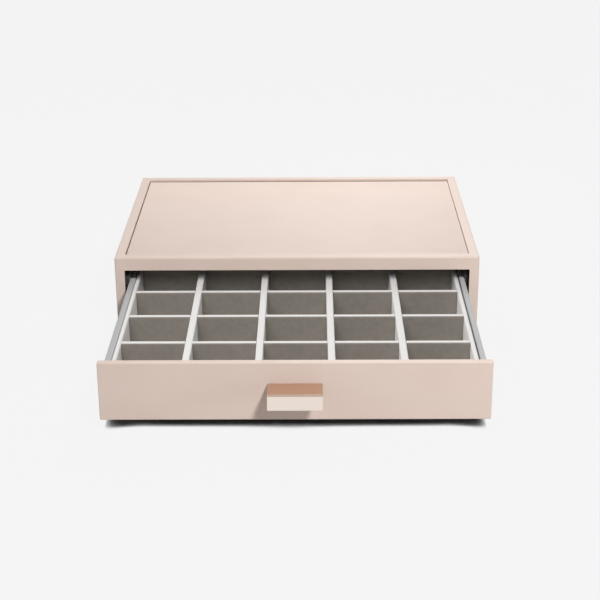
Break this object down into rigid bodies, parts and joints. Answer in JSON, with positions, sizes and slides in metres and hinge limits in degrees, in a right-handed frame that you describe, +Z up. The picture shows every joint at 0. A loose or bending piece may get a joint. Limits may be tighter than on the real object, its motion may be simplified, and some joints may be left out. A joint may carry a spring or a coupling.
{
  "type": "jewelry drawer",
  "caption": "Flat stackable jewelry case wrapped in blush leatherette, with a shallow inset drawer, a square-celled suede tray and a bent rose gold pull.",
  "frame": {"origin": "centre of the case's footprint, on the underside of its base pad", "axes": "+Z up, -Y the way the drawer comes out, +X to the right as seen from the front"},
  "size_m": [0.365, 0.5193, 0.08],
  "materials": {
    "blush_leatherette": "fine-grained blush leatherette, satin",
    "grey_suede": "grey suede-look cloth, matte",
    "tray_suede": "pale grey suede-look cloth, matte",
    "charcoal_felt": "charcoal felt, matte",
    "rose_gold": "polished rose gold",
    "screw_steel": "plated steel, satin"
  },
  "bodies": {
    "case": {"left_side": "blush_leatherette", "right_side": "blush_leatherette", "top_rail": "blush_leatherette", "back_panel": "blush_leatherette", "top_panel": "blush_leatherette", "bottom_panel": "blush_leatherette", "base_pad": "charcoal_felt", "left_guide": "charcoal_felt", "right_guide": "charcoal_felt", "left_kicker": "charcoal_felt", "right_kicker": "charcoal_felt", "left_stop_block": "charcoal_felt", "right_stop_block": "charcoal_felt", "left_glide": "charcoal_felt", "right_glide": "charcoal_felt"},
    "drawer": {"drawer_front": "blush_leatherette", "left_drawer_side": "grey_suede", "right_drawer_side": "grey_suede", "drawer_back": "grey_suede", "drawer_bottom": "grey_suede", "handle": "rose_gold", "handle_screw_left": "screw_steel", "handle_screw_right": "screw_steel", "tray_base": "tray_suede", "tray_front_wall": "tray_suede", "tray_rear_wall": "tray_suede", "tray_left_wall": "tray_suede", "tray_right_wall": "tray_suede", "long_divider_1": "tray_suede", "long_divider_2": "tray_suede", "long_divider_3": "tray_suede", "long_divider_4": "tray_suede", "cross_divider_1": "tray_suede", "cross_divider_2": "tray_suede", "cross_divider_3": "tray_suede"}
  },
  "joints": [
    {"name": "drawer_slide", "type": "slide", "parent": "case", "child": "drawer", "axis": [0, -1, 0], "range_m": [-0.2223, 0]}
  ]
}
